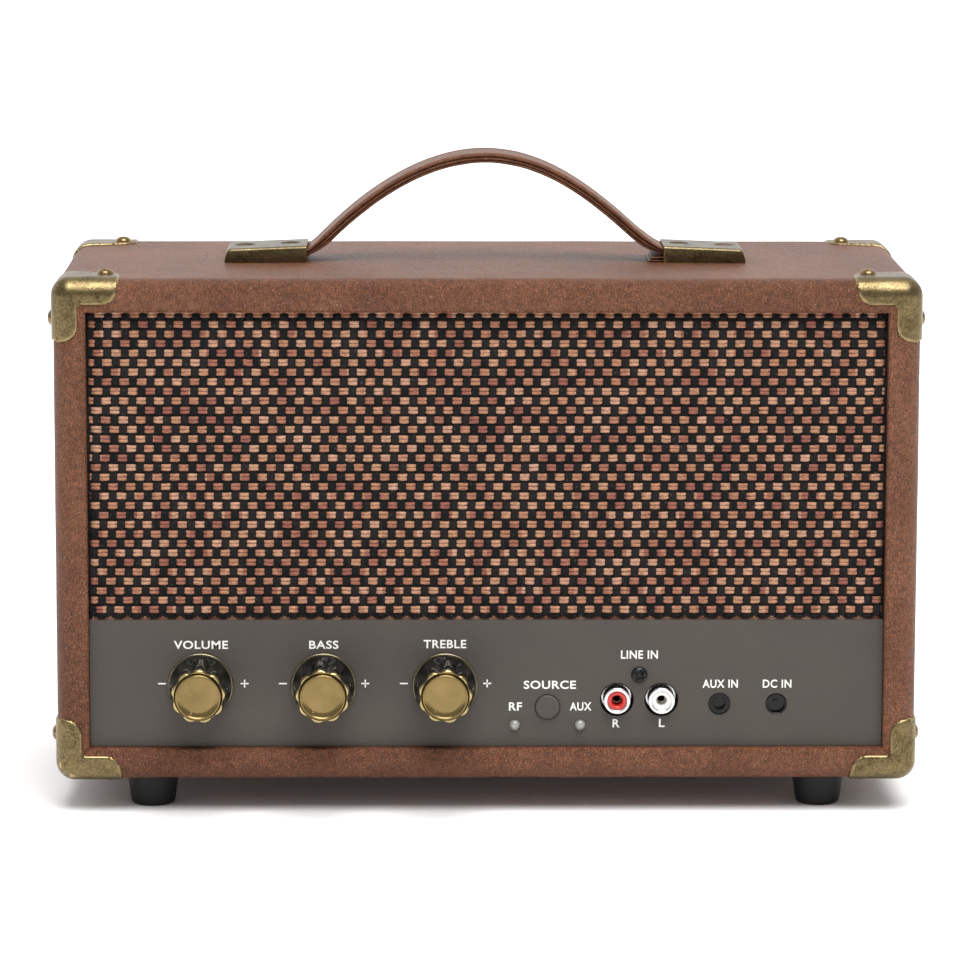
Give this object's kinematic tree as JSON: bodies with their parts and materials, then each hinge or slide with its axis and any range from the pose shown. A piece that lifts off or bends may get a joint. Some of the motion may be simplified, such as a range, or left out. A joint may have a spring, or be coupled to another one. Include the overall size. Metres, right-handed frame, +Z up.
{
  "type": "portable radio amplifier",
  "caption": "Portable amplifier-style radio in a leather-covered wooden case with woven grille, knob panel, corner brackets, carrying strap and rubber feet.",
  "frame": {"origin": "under the middle of the bounding box, on the surface that the feet stand on", "axes": "+X to the right as seen from the front, front with the knobs towards -Y, +Z up"},
  "size_m": [0.2744, 0.1354, 0.2039],
  "materials": {
    "raw_wood": "raw",
    "leather": "satin",
    "strap_leather": "satin",
    "grille_fabric": "woven",
    "panel_paint": "matte",
    "rear_paint": "matte",
    "black_steel": "satin",
    "aged_brass": "worn",
    "foot_rubber": "matte",
    "knob_black": "gloss",
    "knob_brass": "brushed",
    "bright_metal": "satin",
    "cone_paper": "matte",
    "surround_rubber": "matte",
    "magnet_steel": "satin",
    "board_green": "satin",
    "cell_wrap": "gloss",
    "black_plastic": "satin",
    "lamp_clear": "gloss",
    "phono_red": "gloss",
    "phono_white": "gloss",
    "button_plastic": "matte"
  },
  "bodies": {
    "case": {"top_board": "raw_wood", "bottom_board": "raw_wood", "left_board": "raw_wood", "right_board": "raw_wood", "leather_wrap": "leather", "baffle_board": "raw_wood", "grille_board": "raw_wood", "grille_cloth": "grille_fabric", "control_panel": "panel_paint", "rear_cleats": "raw_wood", "rear_panel": "rear_paint", "wood_screws": "black_steel", "bracket_front_top_left": "aged_brass", "bracket_front_top_right": "aged_brass", "bracket_front_bottom_left": "aged_brass", "bracket_front_bottom_right": "aged_brass", "bracket_back_top_left": "aged_brass", "bracket_back_top_right": "aged_brass", "bracket_back_bottom_left": "aged_brass", "bracket_back_bottom_right": "aged_brass", "bracket_screws": "aged_brass", "handle_strap": "strap_leather", "handle_cap_left": "aged_brass", "handle_cap_right": "aged_brass", "handle_screws": "aged_brass", "foot_front_left": "foot_rubber", "foot_front_right": "foot_rubber", "foot_back_left": "foot_rubber", "foot_back_right": "foot_rubber", "speaker_baskets": "black_steel", "speaker_magnets": "magnet_steel", "left_surround": "surround_rubber", "right_surround": "surround_rubber", "speaker_screws": "magnet_steel", "main_board": "board_green", "battery_pack": "cell_wrap", "battery_clamp": "bright_metal", "potentiometers": "bright_metal", "pot_nuts": "bright_metal", "tact_switch": "black_plastic", "status_lamps": "lamp_clear", "phono_block": "black_plastic", "phono_sleeves": "bright_metal", "phono_insulator_red": "phono_red", "phono_insulator_white": "phono_white", "phono_screw": "black_steel", "aux_jack": "black_plastic", "dc_jack": "black_plastic"},
    "volume_dial": {"volume_knob": "knob_black", "volume_cap": "knob_brass", "volume_shaft": "bright_metal"},
    "bass_dial": {"bass_knob": "knob_black", "bass_cap": "knob_brass", "bass_shaft": "bright_metal"},
    "treble_dial": {"treble_knob": "knob_black", "treble_cap": "knob_brass", "treble_shaft": "bright_metal"},
    "source_button": {"function_button": "button_plastic"},
    "left_driver": {"left_cone": "cone_paper"},
    "right_driver": {"right_cone": "cone_paper"}
  },
  "joints": [
    {"name": "volume_turn", "type": "hinge", "parent": "case", "child": "volume_dial", "pos_m": [-0.0898, -0.0543, 0.0405], "axis": [0, 1, 0], "range_deg": [0, 300]},
    {"name": "bass_turn", "type": "hinge", "parent": "case", "child": "bass_dial", "pos_m": [-0.0512, -0.0543, 0.0405], "axis": [0, 1, 0], "range_deg": [0, 300]},
    {"name": "treble_turn", "type": "hinge", "parent": "case", "child": "treble_dial", "pos_m": [-0.0131, -0.0543, 0.0405], "axis": [0, 1, 0], "range_deg": [0, 300]},
    {"name": "button_press", "type": "slide", "parent": "case", "child": "source_button", "axis": [0, 1, 0], "range_m": [0, 0.0008], "stiffness_N_per_m": 400},
    {"name": "left_cone_stroke", "type": "slide", "parent": "case", "child": "left_driver", "axis": [0, 1, 0], "range_m": [-0.001, 0.001], "stiffness_N_per_m": 1500, "deforming": ["left_surround"]},
    {"name": "right_cone_stroke", "type": "slide", "parent": "case", "child": "right_driver", "axis": [0, 1, 0], "range_m": [-0.001, 0.001], "stiffness_N_per_m": 1500, "deforming": ["right_surround"]}
  ]
}
